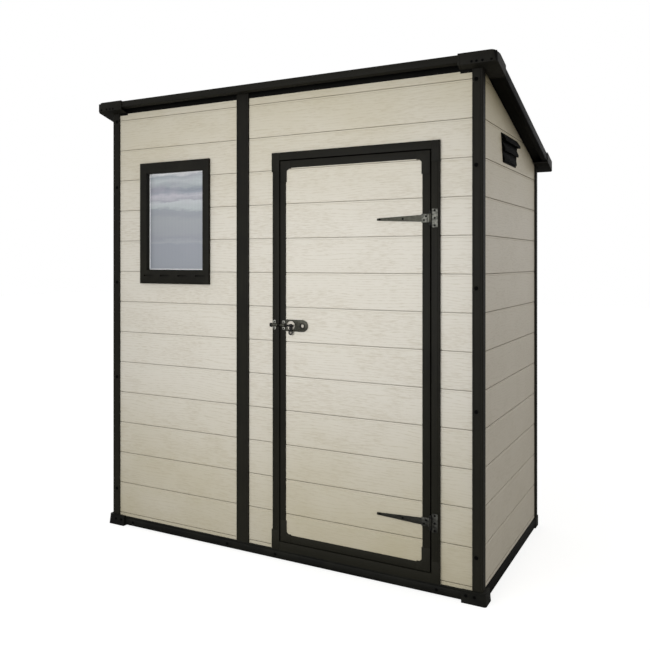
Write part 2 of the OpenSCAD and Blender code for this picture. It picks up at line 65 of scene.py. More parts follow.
class Surface:
    # a material, with its nodes and the calls that most of them need
    def __init__(self, name, values):
        self.material = bpy.data.materials.new(name)
        self.material.use_nodes = True
        self.material.diffuse_color = linearColour(values["colour"])
        self.tree = self.material.node_tree
        self.shader = self.tree.nodes["Principled BSDF"].inputs
        self.shader["Base Color"].default_value = linearColour(values["colour"])
        for socket in ("Roughness", "Metallic", "IOR", "Specular IOR Level", "Transmission Weight"):
            if socket in values:
                self.shader[socket].default_value = values[socket]
        self.place = self.add("TexCoord", {}, "Object")
        self.height = self.add("SeparateXYZ", {0: self.place}, 2)

    def add(self, kind, inputs, output=0, **settings):
        return addNode(self.tree, kind, inputs, output, **settings)

    def maths(self, operation, *inputs):
        return self.add("Math", dict(enumerate(inputs)), operation=operation)

    def noise(self, scale, detail, roughness=0.5, distortion=0.0, place=None):
        # scale is one number, or one for each axis
        place = self.place if place is None else place
        if isinstance(scale, tuple):
            place = self.add("VectorMath", {0: place, 1: scale}, operation="MULTIPLY")
            scale = 1.0
        return self.add("TexNoise", {"Vector": place, "Scale": scale, "Detail": detail,
                                     "Roughness": roughness, "Distortion": distortion})

    def mapped(self, value, given, wanted=(0.0, 1.0), **settings):
        # takes the range given to the range wanted
        return self.add("MapRange", {0: value, "From Min": given[0], "From Max": given[1],
                                     "To Min": wanted[0], "To Max": wanted[1]}, **settings)

    def mixed(self, share, first, second):
        # each colour is a code or another node's output
        first, second = (linearColour(c) if isinstance(c, str) else c for c in (first, second))
        return self.add("Mix", {0: share, 6: first, 7: second}, 2, data_type="RGBA")

    def link(self, source, socket):
        self.tree.links.new(source, self.shader[socket])

    def bump(self, height, strength, depth):
        bumped = self.add("Bump", {"Height": height, "Strength": strength, "Distance": depth * mm})
        self.link(bumped, "Normal")

    def rough(self, noise, least, most):
        self.link(self.mapped(noise, (0.0, 1.0), (least, most)), "Roughness")


# Planks: the moulded grooves, shared by the walls, the door and the grain; mm
planks = {
    "pitch": 143.6,  # height of one plank
    "lowest": 57,  # middle of the lowest groove above the ground
    "slot": 2.6,  # width of the groove
    "slotDepth": 6.0,
    "topDraft": 0.4,  # how far the groove's walls lean in
    "footDraft": 0.9,
    "band": 5.0,  # smooth band under the groove
    "bandDepth": 0.5,
    "line": 2.0,  # fine line that ends the band
    "lineDepth": 1.8,
    "round": 1.2,  # rounding of the plank's lower edge
    "roundEnd": 0.2,
    "roundDepth": 0.7,
}

# Polypropylene, blow-moulded in an embossed tool: matt, with a low wood grain along the planks
embossedResin = {
    "colour": "#d9d4c8",
    "Roughness": 0.5,
    "Specular IOR Level": 0.55,
    "IOR": 1.49,
    "grainLength": 34,  # mm, one streak
    "grainHeight": 3.6,  # real grain is 1 to 2 mm; coarser so that it shows
    "grainStep": 3.71,  # m, from one plank's grain to the next one's
    "grainColour": "#c4bcab",  # in the hollows of the grain
    "hollows": (0.36, 0.6),
    "ringHeight": 12,  # mm between the lines of the cathedral figure
    "ringWave": (-1.0, -0.3),
    "ringShare": (0.04, 0.3),
    "swirl": (2.6, 2.6, 13.0),  # per m, the broad noise that bends the rings
    "swirlTurn": 34.0,
    "patch": (5.0, 5.0, 9.0),  # per m, where the rings show
    "patchEdge": (0.45, 0.7),
    "smoothBand": (0.935, 0.94),  # where it starts, as a share of the plank
    "pits": 420.0,
    "pitShare": 0.12,
    "relief": 0.5,  # mm
    "dustColour": "#b8ad88",  # dust and painted shade near the ground, painted shade under the eaves
    "dustAndShadeLow": 1.1,
    "dustAndShadeLowAt": (0.05, 0.75),  # m
    "eavesShade": 0.9,
    "eavesShadeAt": (1.4, 1.95),
    "grooveShadeColour": "#6d6553",  # painted shade in the grooves
    "grooveShade": 0.25,
}


def makeEmbossedResin(name, values):
    skin = Surface(name, values)
    pitch = planks["pitch"]
    planksUp = skin.maths("MULTIPLY_ADD", skin.height, 1 / (pitch * mm), -planks["lowest"] / pitch)
    shift = skin.maths("MULTIPLY", skin.maths("FLOOR", planksUp), values["grainStep"])
    shifted = skin.add("CombineXYZ", {0: shift, 1: shift})
    grainPlace = skin.add("VectorMath", {0: skin.place, 1: shifted}, operation="ADD")
    along, across = 1 / (values["grainLength"] * mm), 1 / (values["grainHeight"] * mm)
    streaks = skin.noise((along, along, across), 4.0, 0.65, 0.35, grainPlace)
    # cathedral figure: level rings bent by a broad noise, and fading in and out
    swirl = skin.noise(values["swirl"], 1.5, 0.45, 0.0, grainPlace)
    bent = skin.maths("MULTIPLY", swirl, values["swirlTurn"])
    angle = skin.maths("MULTIPLY_ADD", skin.height, 2 * math.pi / (values["ringHeight"] * mm), bent)
    rings = skin.mapped(skin.maths("SINE", angle), values["ringWave"], interpolation_type="SMOOTHSTEP")
    patches = skin.noise(values["patch"], 2.0, place=grainPlace)
    ringShare = skin.mapped(patches, values["patchEdge"], values["ringShare"])
    figure = skin.maths("MULTIPLY_ADD", rings, ringShare, streaks)
    grainy = skin.mapped(skin.maths("FRACT", planksUp), values["smoothBand"], (1.0, 0.0))
    relief = skin.maths("MULTIPLY", figure, grainy)
    pitted = skin.maths("MULTIPLY_ADD", skin.noise(values["pits"], 2.0), values["pitShare"], relief)
    skin.bump(pitted, 0.8, values["relief"])
    hollows = skin.mapped(figure, values["hollows"], (0.8, 0.0))
    grained = skin.mixed(skin.maths("MULTIPLY", hollows, grainy), values["colour"], values["grainColour"])
    # dust and painted shade towards the ground, painted shade under the eaves, both broken up by a noise
    low = skin.mapped(skin.height, values["dustAndShadeLowAt"], (values["dustAndShadeLow"], 0.0))
    high = skin.mapped(skin.height, values["eavesShadeAt"], (0.0, values["eavesShade"]))
    dustAndShade = skin.maths("MULTIPLY", skin.noise(2.3, 3.0), skin.maths("ADD", low, high))
    dustedAndShaded = skin.mixed(dustAndShade, grained, values["dustColour"])
    # painted shade in the grooves, by the distance from the nearest one
    groove = planks["slot"] / 2 / pitch
    nearest = skin.maths("PINGPONG", planksUp, 0.5)
    grooveShadow = skin.mapped(nearest, (groove * 0.9, groove * 1.3), (values["grooveShade"], 0.0))
    skin.link(skin.mixed(grooveShadow, dustedAndShaded, values["grooveShadeColour"]), "Base Color")
    skin.rough(streaks, values["Roughness"] + 0.08, values["Roughness"] - 0.06)
    return skin.material


# Polypropylene, extruded or injection-moulded with a fine grain: near-black with an olive cast
grainedResin = {
    "colour": "#161511",
    "wornColour": "#1f1e18",
    "Roughness": 0.55,
    "Specular IOR Level": 0.1,
    "IOR": 1.49,
    "pebble": 2.4,  # mm; the real leather grain is under 1 mm, coarser so that it shows
    "relief": 0.16,  # mm
    "dustColour": "#2b2a22",
    "dust": 0.45,  # share of dust at the ground
    "dustAt": (0.1, 0.9),
}


def makeGrainedResin(name, values):
    skin = Surface(name, values)
    drawn = skin.noise(values["draw"], 2.0)
    pebbled = skin.maths("MULTIPLY_ADD", drawn, 0.6, skin.noise(1 / (values["pebble"] * mm), 3.0))
    skin.bump(pebbled, 0.8, values["relief"])
    cloud = skin.noise(7.0, 5.0, 0.65)
    mottle = skin.maths("ADD", cloud, skin.maths("MULTIPLY_ADD", drawn, 0.5, -0.25))
    colour = skin.mixed(skin.mapped(mottle, (0.35, 0.75)), values["colour"], values["wornColour"])
    if values.get("dust"):
        settled = skin.mapped(skin.height, values["dustAt"], (values["dust"], 0.0))
        colour = skin.mixed(settled, colour, values["dustColour"])
    skin.link(colour, "Base Color")
    skin.rough(cloud, values["Roughness"] - 0.06, values["Roughness"] + 0.1)
    return skin.material


# Steel, weathered: a broken, mottled sheen, with splashed grime that is thicker towards the ground
steel = {"blotch": 110.0, "grimeColour": "#1c1b1a", "grime": 0.6, "grimeAt": (0.3, 1.2), "relief": 0.05}
platedSteel = {**steel, "colour": "#74746d", "darkColour": "#33332f", "Metallic": 0.8, "Roughness": 0.5}
brightSteel = {**steel, "colour": "#a4a49c", "darkColour": "#5c5c56", "Metallic": 0.7, "Roughness": 0.45,
               "relief": 0.03}
passivatedSteel = {**steel, "colour": "#4b4b42", "darkColour": "#302f29", "Metallic": 0.75, "Roughness": 0.5}
# Black oxide: almost black with a small dull highlight
blackSteel = {**steel, "colour": "#090908", "darkColour": "#040404", "Metallic": 0.2, "Roughness": 0.42,
              "Specular IOR Level": 0.25, "relief": 0.03}


def makeSteel(name, values):
    skin = Surface(name, values)
    blotch = skin.noise(values["blotch"], 4.0, 0.6)
    metal = skin.mixed(skin.mapped(blotch, (0.35, 0.65)), values["darkColour"], values["colour"])
    grime = skin.mapped(skin.height, values["grimeAt"], (values["grime"], 0.0))
    skin.link(skin.mixed(grime, metal, values["grimeColour"]), "Base Color")
    skin.rough(blotch, values["Roughness"] - 0.1, values["Roughness"] + 0.14)
    skin.bump(skin.noise(900.0, 2.0), 0.6, values["relief"])
    return skin.material


# Polycarbonate, extruded and slightly hazy: grey-blue, with a painted reflection of clouds as soft level bands
# in its upper half
hazyPaneAndReflection = {
    "colour": "#9b9ea5",
    "light": (1.2145, 1.666),  # m, lowest and highest point of the light
    "reflectionBands": [(0.0, "#9ba0a8"), (0.25, "#999ea7"), (0.28, "#a5a9b0"), (0.32, "#9a9ea6"), (0.38, "#a1a5ab"),
              (0.5, "#a5a9ae"), (0.56, "#9ca1a8"), (0.61, "#9fa4ab"), (0.64, "#bec5c7"), (0.69, "#c9ced1"),
              (0.71, "#a9abb4"), (0.75, "#c8c6ce"), (0.78, "#a3a9b3"), (0.82, "#8f96a1"), (0.85, "#a9b1b6"),
              (0.9, "#c5ccce"), (0.95, "#adb4bb"), (1.0, "#9aa2ac")],
    "warp": (6.0, 6.0, 30.0),  # per m, the noise that bends the painted reflection's bands
    "warpShare": 0.16,
    "reflectionTint": "#bdb6c2",  # part of the painted reflection: faint lilac in patches
    "reflectionTintAt": (0.55, 0.75),
    "reflectionTintShare": (0.05, 0.3),
    "rib": 8.0,  # mm between the upright ribs inside the sheet
    "ribColour": "#84878f",
    "ribShare": (0.0, 0.2),
    "Roughness": 0.25,
    "IOR": 1.58,
    "Transmission Weight": 0.1,
}


def makeHazyPaneAndReflection(values):
    skin = Surface("polycarbonate_extruded_hazy_painted_reflection", values)
    up = skin.mapped(skin.height, values["light"])
    share = values["warpShare"]
    warp = skin.maths("MULTIPLY_ADD", skin.noise(values["warp"], 5.0, 0.65), share, -share / 2)
    # painted reflection of clouds: colour bands by height across the light
    ramp = skin.add("ValToRGB", {0: skin.maths("ADD", up, warp)})
    stops = ramp.node.color_ramp.elements
    for k, (stop, colour) in enumerate(values["reflectionBands"]):
        element = stops[k] if k < 1 else stops.new(stop)
        element.position, element.color = stop, linearColour(colour)
    stops.remove(stops[-1])
    upper = skin.mapped(up, values["reflectionTintAt"], values["reflectionTintShare"])
    lilac = skin.mapped(skin.noise(9.0, 2.0), (0.5, 0.65))
    tinted = skin.mixed(skin.maths("MULTIPLY", lilac, upper), ramp, values["reflectionTint"])
    across = skin.add("SeparateXYZ", {0: skin.place})
    ribs = skin.maths("SINE", skin.maths("MULTIPLY", across, 2 * math.pi / (values["rib"] * mm)))
    ribShare = skin.mapped(ribs, (-0.2, 1.0), values["ribShare"])
    skin.link(skin.mixed(ribShare, tinted, values["ribColour"]), "Base Color")
    skin.bump(ribs, 0.12, 0.3)
    return skin.material


beige = makeEmbossedResin("polypropylene_embossed_wood_grain", embossedResin)
# The sides are a slightly darker copy as painted shade, with more painted shade under the eaves and less dust
# and painted shade near the ground
beigeSide = makeEmbossedResin("polypropylene_embossed_wood_grain_side_painted_shade",
                              {**embossedResin, "colour": "#d1cabb", "dustAndShadeLow": 0.2, "eavesShade": 1.3})

# Fine draw marks of the dark resin, long along the axis with the low number
draws = {"upright": (150, 150, 5), "level": (5, 150, 150), "deep": (150, 5, 150), "moulded": (40, 40, 40)}
# The base is a little darker than the posts, and the roof, its trims and the vents are blacker still
baseResin = {"colour": "#0e0e0c", "wornColour": "#1d1d18", "dust": 0}
blackResin = {"colour": "#080807", "wornColour": "#0e0e0c", "Specular IOR Level": 0.05, "dust": 0}


def makeDark(name, draw, change=None):
    return makeGrainedResin("polypropylene_" + name, {**grainedResin, **(change or {}), "draw": draws[draw]})


darkUpright = makeDark("extruded_upright", "upright")
darkLevel = makeDark("extruded_level", "level")
darkMoulded = makeDark("moulded_fine_grained", "moulded")
baseMoulded = makeDark("moulded_base", "moulded", baseResin)
baseLevel = makeDark("extruded_base_level", "level", baseResin)
blackMoulded = makeDark("moulded_black", "moulded", blackResin)
blackLevel = makeDark("extruded_black_level", "level", blackResin)
blackDeep = makeDark("extruded_black_front_to_back", "deep", blackResin)
# Nylon, moulded: bolt heads, screws and vents, a dull full black
blackNylon = makeGrainedResin("nylon_moulded_black", {
    **grainedResin, **blackResin, "colour": "#050505", "wornColour": "#0a0a09", "Specular IOR Level": 0.04,
    "Roughness": 0.75, "draw": draws["moulded"]})
plated = makeSteel("steel_zinc_plated", platedSteel)
brightPlated = makeSteel("steel_zinc_plated_bright", brightSteel)
passivated = makeSteel("steel_dark_passivated", passivatedSteel)
blackened = makeSteel("steel_black_oxide", blackSteel)
paneMaterial = makeHazyPaneAndReflection(hazyPaneAndReflection)
# PVC, extruded: pale grey, smooth
gasket = makeGrainedResin("pvc_extruded_pale_grey", {
    "colour": "#f1f2f3", "wornColour": "#e2e4e6", "Roughness": 0.4, "pebble": 3.0, "draw": (60, 60, 60),
    "relief": 0.03})
print("materials made:", len(bpy.data.materials))


def deselectAll():
    if bpy.context.mode != "OBJECT":
        bpy.ops.object.mode_set(mode="OBJECT")
    bpy.ops.object.select_all(action="DESELECT")


def makeActive(piece):
    deselectAll()
    piece.select_set(True)
    bpy.context.view_layer.objects.active = piece


def openPiece(piece):
    makeActive(piece)
    bpy.ops.object.mode_set(mode="EDIT")
    bpy.ops.mesh.select_mode(type="VERT")
    bpy.ops.mesh.select_all(action="SELECT")


def near(place, wanted, tolerance=0.1):
    return abs(place - wanted) < tolerance


def span(edge, axis):
    # how far an edge reaches along an axis, in mm
    return abs(edge.verts[0].co[axis] - edge.verts[1].co[axis]) / mm


def upright(co, edge):
    return span(edge, 2) > 500


def sharp(edge, degrees):
    return edge.calc_face_angle(0) > math.radians(degrees)


def pick(piece, kind, test):
    # selects the vertices, edges or faces that pass a test of their middle, in mm
    bpy.ops.mesh.select_mode(type=kind)
    bpy.ops.mesh.select_all(action="DESELECT")
    mesh = bmesh.from_edit_mesh(piece.data)
    for part in {"VERT": mesh.verts, "EDGE": mesh.edges, "FACE": mesh.faces}[kind]:
        corners = [part] if kind == "VERT" else part.verts
        if test(sum((v.co for v in corners), Vector()) / len(corners) / mm, part):
            part.select_set(True)
    mesh.select_flush_mode()
    bmesh.update_edit_mesh(piece.data)


def shift(piece, move, test):
    # moves the points whose place passes a test; mm
    pick(piece, "VERT", lambda co, v: test(co))
    bpy.ops.transform.translate(value=[distance * mm for distance in move])


def alongAxis(axis, value):
    return [value if k == axis else 0 for k in range(3)]


def startPiece(name):
    bpy.ops.object.transform_apply()
    piece = bpy.context.object
    piece.name = piece.data.name = name
    openPiece(piece)
    return piece


def addBox(name, one, other):
    # a box between two opposite corners, in mm
    deselectAll()
    low, high = (Vector([f(pair) for pair in zip(one, other)]) * mm for f in (min, max))
    bpy.ops.mesh.primitive_cube_add(size=1, location=(low + high) / 2, scale=high - low)
    return startPiece(name)


def addRound(name, middle, radius, depth, corners=24, axis="Y"):
    deselectAll()
    turn = {"X": (0, math.pi / 2, 0), "Y": (math.pi / 2, 0, 0)}[axis]
    bpy.ops.mesh.primitive_cylinder_add(vertices=corners, radius=radius * mm, depth=depth * mm,
                                        location=Vector(middle) * mm, rotation=turn)
    return startPiece(name)


def cleanFlats():
    bpy.ops.mesh.select_all(action="SELECT")
    bpy.ops.mesh.dissolve_limited(angle_limit=math.radians(0.3))


def weld():
    bpy.ops.mesh.select_all(action="SELECT")
    bpy.ops.mesh.remove_doubles(threshold=0.01 * mm)


def copyNode(node, suffix):
    piece = bpy.data.objects.new(node + suffix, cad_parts[node].data.copy())
    piece.data.name = node + suffix
    piece.data.materials.clear()
    bpy.context.scene.collection.objects.link(piece)
    openPiece(piece)
    weld()
    bpy.ops.mesh.customdata_custom_splitnormals_clear()
    cleanFlats()
    return piece


def cutAcross(axis, places):
    # loops round the open piece at places along an axis, in mm
    for place in places:
        bpy.ops.mesh.select_all(action="SELECT")
        bpy.ops.mesh.bisect(plane_co=alongAxis(axis, place * mm), plane_no=alongAxis(axis, 1))


def softenEdges(piece, width, segments=2, test=None):
    pick(piece, "EDGE", lambda co, edge: sharp(edge, 25) and (test is None or test(co, edge)))
    bpy.ops.mesh.bevel(offset=width * mm, segments=segments, affect="EDGES", clamp_overlap=True)
    return piece


def scoreLines(piece, faceAxis, plane, inward, lineAxis, places, width=1.4, depth=0.7):
    # fine V-shaped lines on a flat face; all in mm
    for place in places:
        cutAcross(lineAxis, [place - width / 2, place, place + width / 2])
    shift(piece, alongAxis(faceAxis, inward * depth), lambda co: near(co[faceAxis], plane, 0.02)
          and any(near(co[lineAxis], place, 0.02) for place in places))
    cleanFlats()


def openThrough(piece, axis, wall):
    # a hole from end to end along an axis, with a wall left round it
    pick(piece, "FACE", lambda co, face: abs(face.normal[axis]) > 0.9)
    bpy.ops.mesh.inset(thickness=wall * mm, use_individual=True)
    bpy.ops.mesh.bridge_edge_loops()


def joinPieces(name, pieces):
    deselectAll()
    for piece in pieces:
        piece.select_set(True)
    bpy.context.view_layer.objects.active = pieces[0]
    if len(pieces) > 1:
        bpy.ops.object.join()
    pieces[0].name = pieces[0].data.name = name
    return pieces[0]


def finishPiece(piece, material, nodes=(), body="shed", angle=35):
    makeActive(piece)
    bpy.ops.object.transform_apply()
    bpy.ops.object.shade_smooth_by_angle(angle=math.radians(angle))
    piece.data.materials.clear()
    piece.data.materials.append(material)
    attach(piece, body)
    if nodes:
        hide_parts(*nodes)


def finishMetal(piece, material, body="shed", nodes=()):
    finishPiece(piece, material, nodes, body)


def copyPiece(piece):
    makeActive(piece)
    bpy.ops.object.duplicate(linked=False)
    return bpy.context.object


def copyAbout(name, piece, places):
    # one piece modelled at the origin, looking forwards, copied to places (x, y, z, turn) in mm and degrees
    copies = []
    for x, y, z, turn in places:
        copies.append(copyPiece(piece))
        copies[-1].location = Vector((x, y, z)) * mm
        copies[-1].rotation_euler = (0, 0, math.radians(turn))
        bpy.ops.object.transform_apply()
    bpy.data.objects.remove(piece)
    return joinPieces(name, copies)


def mirrored(piece, middle):
    # a copy on the other side of an upright plane at middle, turned the right way out again
    other = copyPiece(piece)
    openPiece(other)
    bpy.ops.transform.resize(value=(-1, 1, 1), center_override=(middle * mm, 0, 0))
    bpy.ops.mesh.normals_make_consistent(inside=False)
    return other


def sized(node):
    low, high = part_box(node)
    return low / mm, high / mm


def combine(piece, other, operation="DIFFERENCE"):
    # cuts or joins two closed pieces; the other one goes
    makeActive(piece)
    change = piece.modifiers.new("combine", "BOOLEAN")
    change.operation, change.solver, change.object = operation, "EXACT", other
    bpy.ops.object.modifier_apply(modifier=change.name)
    bpy.data.objects.remove(other)
    openPiece(piece)
    cleanFlats()
    return piece


def placeScrews(name, radius, height, places, body="shed"):
    # domed heads with a round recess
    screw = addRound("screw", (0, -height / 2, 0), radius, height, 20)
    pick(screw, "EDGE", lambda co, edge: co.y < -height * 0.9)
    bpy.ops.mesh.bevel(offset=height * 0.6 * mm, segments=3, affect="EDGES", clamp_overlap=True)
    pick(screw, "FACE", lambda co, face: face.normal.y < -0.99)
    bpy.ops.mesh.inset(thickness=radius * 0.12 * mm)
    bpy.ops.mesh.inset(thickness=radius * 0.1 * mm, depth=-height * 0.35 * mm)
    finishMetal(copyAbout(name, screw, places), blackNylon, body)


def plankRows(low, high):
    # heights of the loops that each groove needs, and how deep each lies
    rows = []
    for k in range(20):
        middle = planks["lowest"] + k * planks["pitch"]
        top, foot = middle + planks["slot"] / 2, middle - planks["slot"] / 2
        line = foot - planks["band"]
        rows += [(top + planks["round"], 0), (top + planks["roundEnd"], planks["roundDepth"]),
                 (top - planks["topDraft"], planks["slotDepth"]),
                 (foot + planks["footDraft"], planks["slotDepth"]),
                 (foot, planks["bandDepth"]), (line, planks["bandDepth"]),
                 (line - planks["line"] / 2, planks["lineDepth"]), (line - planks["line"], 0)]
    return [(z, depth) for z, depth in rows if low + 2 < z < high - 2]


def pushRows(piece, axis, plane, inward, rows):
    for depth in sorted({d for z, d in rows if d}):
        heights = [z for z, d in rows if d == depth]
        shift(piece, alongAxis(axis, inward * depth), lambda co: near(co[axis], plane, 0.02)
              and any(near(co.z, z, 0.02) for z in heights))


# Walls and the door's panel: the slab of the frame with its grooves on both faces
walls = {
    "front_planks_window_side": ["front_wall_window_side"],
    "front_planks_round_door": ["front_wall_over_door", "front_wall_latch_side", "front_wall_hinge_side"],
    "rear_planks_left": ["rear_wall_left"],
    "rear_planks_right": ["rear_wall_right"],
    "left_planks": ["left_wall"],
    "right_planks": ["right_wall"],
    "door_planks": ["door_panel"],
}
lipStep = 4.3  # how far the planks reach past the jambs' outer edge, mm
panelReach = 8  # how far the door's planks reach under its stile
stripSlim = 4  # how much lower the black strip over the front panels is made
for name, nodes in walls.items():
    axis = 0 if name in ("left_planks", "right_planks") else 1
    low, high = sized(nodes[0])
    for node in nodes[1:]:
        low.z = min(low.z, sized(node)[0].z)
    piece = joinPieces(name, [copyNode(node, "_slab") for node in nodes])
    openPiece(piece)
    if len(nodes) > 1:  # one panel round the door: the faces inside it go
        doorTop = sized(nodes[0])[0].z
        cutAcross(2, [doorTop - 2, doorTop])
        weld()
        pick(piece, "FACE", lambda co, face: co.z > doorTop and abs(face.normal.x) > 0.99
             and (near(co.x, low.x) or near(co.x, high.x)))
        bpy.ops.mesh.delete(type="FACE")
        for place, move in ((low.x, lipStep), (high.x, -lipStep)):
            shift(piece, (move, 0, 0), lambda co: co.z < doorTop - 1 and near(co.x, place))
        cleanFlats()
    if name.startswith("front"):  # the front panels reach a little further up under the roof
        shift(piece, (0, 0, stripSlim), lambda co: co.z > high.z - 7)
    rows = plankRows(low.z, high.z)
    cutAcross(2, [z for z, d in rows])
    pushRows(piece, axis, low[axis], 1, rows)
    pushRows(piece, axis, high[axis], -1, rows)
    if name == "door_planks":
        shift(piece, (-panelReach, 0, 0), lambda co: near(co.x, low.x))
    cleanFlats()
    body = "door" if name == "door_planks" else "shed"
    finishPiece(piece, beigeSide if axis == 0 else beige, nodes, body, 25)
print("plank walls modelled:", len(walls))


# Posts: eased edges and two fine lines down each face
posts = {"radius": 1.4, "innerLine": 6.5, "outerLine": 10, "midLine": 8, "midRadius": 3.2}
for side, end in ((-1, -1), (-1, 1), (1, -1), (1, 1)):
    node = ("front_" if end < 0 else "rear_") + ("left_post" if side < 0 else "right_post")
    low, high = sized(node)
    outX, inX = (low.x, high.x) if side < 0 else (high.x, low.x)
    outY, inY = (low.y, high.y) if end < 0 else (high.y, low.y)
    piece = softenEdges(copyNode(node, "_cover"), posts["radius"], 2, upright)
    scoreLines(piece, 1, outY, -end, 0, [inX + side * posts["innerLine"], outX - side * posts["outerLine"]])
    scoreLines(piece, 0, outX, -side, 1, [inY + end * posts["innerLine"], outY - end * posts["outerLine"]])
    finishPiece(piece, darkUpright, [node])
for node in ("front_mid_post", "rear_mid_post"):
    low, high = sized(node)
    plane, inward = (low.y, 1) if "front" in node else (high.y, -1)
    piece = softenEdges(copyNode(node, "_cover"), posts["midRadius"], 2,
                        lambda co, edge: upright(co, edge) and near(co.y, plane))
    scoreLines(piece, 1, plane, inward, 0, [low.x + posts["midLine"], high.x - posts["midLine"]])
    finishPiece(piece, darkUpright, [node])
print("posts modelled: 6")


# Base rails: eased, with a bead under the top edge
rails = {"radius": 2.0, "bead": 7.5}
for node, axis, inward in (("front_base_rail", 1, 1), ("rear_base_rail", 1, -1), ("left_base_rail", 0, 1),
                           ("right_base_rail", 0, -1)):
    low, high = sized(node)
    piece = softenEdges(copyNode(node, "_beaded"), rails["radius"])
    scoreLines(piece, axis, (low if inward > 0 else high)[axis], inward, 2, [high.z - rails["bead"]])
    # the side rails take the blacker resin as painted shade of the side faces
    finishPiece(piece, baseLevel if axis == 1 else blackDeep, [node])

# Corner feet: rounded on the corner, with a lip along their top
feet = {"past": (879, 514), "outer": (883.9, 518.9), "corner": 9, "radius": 1.6, "lip": 6.5, "lipHalf": 0.8,
        "lipDepth": 0.9, "rear": 400, "rearFlush": (877.5, 513)}
low, high = sized("corner_feet")
pastX, pastY = feet["past"]
piece = copyNode("corner_feet", "_moulded")
softenEdges(piece, feet["corner"], 3, lambda co, edge: span(edge, 2) > 3
            and all(abs(co[k]) > feet["outer"][k] for k in (0, 1)))
for side in (-1, 1):  # the rear feet stand only just proud of the rails
    pick(piece, "VERT", lambda co, v: co.y > feet["rear"] and co.x * side > pastX)
    bpy.ops.transform.resize(value=(0, 1, 1), center_override=(side * feet["rearFlush"][0] * mm, 0, 0))
pick(piece, "VERT", lambda co, v: co.y > pastY)
bpy.ops.transform.resize(value=(1, 0, 1), center_override=(0, feet["rearFlush"][1] * mm, 0))
cleanFlats()
softenEdges(piece, feet["radius"], 2, lambda co, edge: sharp(edge, 50) and co.z > high.z / 2 - 1)
lipZ = high.z - feet["lip"]
cutAcross(2, [lipZ - feet["lipHalf"], lipZ, lipZ + feet["lipHalf"]])
pick(piece, "VERT", lambda co, v: near(co.z, lipZ, 0.02) and (abs(co.x) > pastX or abs(co.y) > pastY))
bpy.ops.transform.shrink_fatten(value=-feet["lipDepth"] * mm)
finishPiece(piece, baseMoulded, ["corner_feet"])
print("base rails and feet modelled")


# Door frame: jambs, head and sill, then a moulded block over each corner
doorFrame = {"radius": 0.9, "front": -505, "line": 8, "block": 80, "blockFoot": 82, "blockAcross": 36,
             "blockBack": 9.5, "blockRadius": 1.2, "proud": 0.8}
leftLow, leftHigh = sized("door_jamb_latch_side")
rightLow, rightHigh = sized("door_jamb_hinge_side")
for node in ("door_jamb_latch_side", "door_jamb_hinge_side", "door_head", "door_sill"):
    low, high = sized(node)
    piece = copyNode(node, "_moulded")
    outer, step = (low.x, lipStep) if "latch" in node else (high.x, -lipStep)
    if "jamb" in node:
        shift(piece, (step, 0, 0), lambda co: near(co.x, outer))
    softenEdges(piece, doorFrame["radius"], 2, lambda co, edge: co.y < doorFrame["front"])
    if "jamb" in node:
        scoreLines(piece, 1, low.y, 1, 0, [outer + step + math.copysign(doorFrame["line"], step)])
    finishPiece(piece, darkUpright if "jamb" in node else darkLevel, [node])
blocks = []
for x0, x1 in ((leftLow.x, leftLow.x + doorFrame["blockAcross"]),
               (rightHigh.x - doorFrame["blockAcross"], rightHigh.x - lipStep + 0.3)):
    for z0, z1 in ((leftLow.z + 0.5, leftLow.z + doorFrame["blockFoot"]),
                   (leftHigh.z - doorFrame["block"], leftHigh.z)):
        block = addBox("corner_block", (x0, leftLow.y - doorFrame["proud"], z0),
                       (x1, leftLow.y + doorFrame["blockBack"], z1))
        blocks.append(softenEdges(block, doorFrame["blockRadius"]))
finishPiece(joinPieces("door_frame_corner_blocks", blocks), darkMoulded)


# Leaf: stiles and rails, then a cover over each corner with a chamfered inner edge
leaf = {"radius": 0.9, "slim": 4.5, "coverAcross": 20, "coverDown": 58, "coverBack": 6, "coverRadius": 0.7,
        "overlap": 3.2, "chamfer": 8, "proud": 0.9}
stileLow, stileHigh = sized("door_stiles")
panelLow, panelHigh = sized("door_panel")
for node in ("door_stiles", "door_top_rail", "door_bottom_rail"):
    piece = copyNode(node, "_moulded")
    shift(piece, (-leaf["slim"], 0, 0), lambda co: near(co.x, panelLow.x))
    softenEdges(piece, leaf["radius"])
    finishPiece(piece, darkUpright if node == "door_stiles" else darkLevel, [node], "door")
covers = []
innerLeft = panelLow.x - leaf["slim"]
lapX = innerLeft + leaf["overlap"]
coverY = stileLow.y - leaf["proud"]
for outer, inner, up in ((stileHigh.z, panelHigh.z, 1), (stileLow.z, panelLow.z, -1)):
    railZ = inner - up * leaf["overlap"]
    cover = addBox("leaf_cover", (stileLow.x + 0.6, coverY, outer),
                   (lapX, stileLow.y + leaf["coverBack"], inner - up * leaf["coverDown"]))
    cutAcross(2, [railZ])
    pick(cover, "FACE", lambda co, face: face.normal.x > 0.9 and (co.z - railZ) * up > 0)
    bpy.ops.mesh.extrude_region_move(TRANSFORM_OT_translate={"value": (leaf["coverAcross"] * mm, 0, 0)})
    pick(cover, "EDGE", lambda co, edge: span(edge, 1) > 3 and near(co.x, lapX) and near(co.z, railZ))
    bpy.ops.mesh.bevel(offset=leaf["chamfer"] * mm, segments=1, affect="EDGES")
    softenEdges(cover, leaf["coverRadius"], 2, lambda co, edge: co.y < coverY + 0.1)
    other = mirrored(cover, (innerLeft + panelHigh.x) / 2)
    shift(other, (leaf["slim"], 0, 0), lambda co: co.x > panelHigh.x + 12)
    covers += [cover, other]
finishPiece(joinPieces("leaf_corner_covers", covers), darkMoulded, (), "door")
print("door frame and leaf modelled")


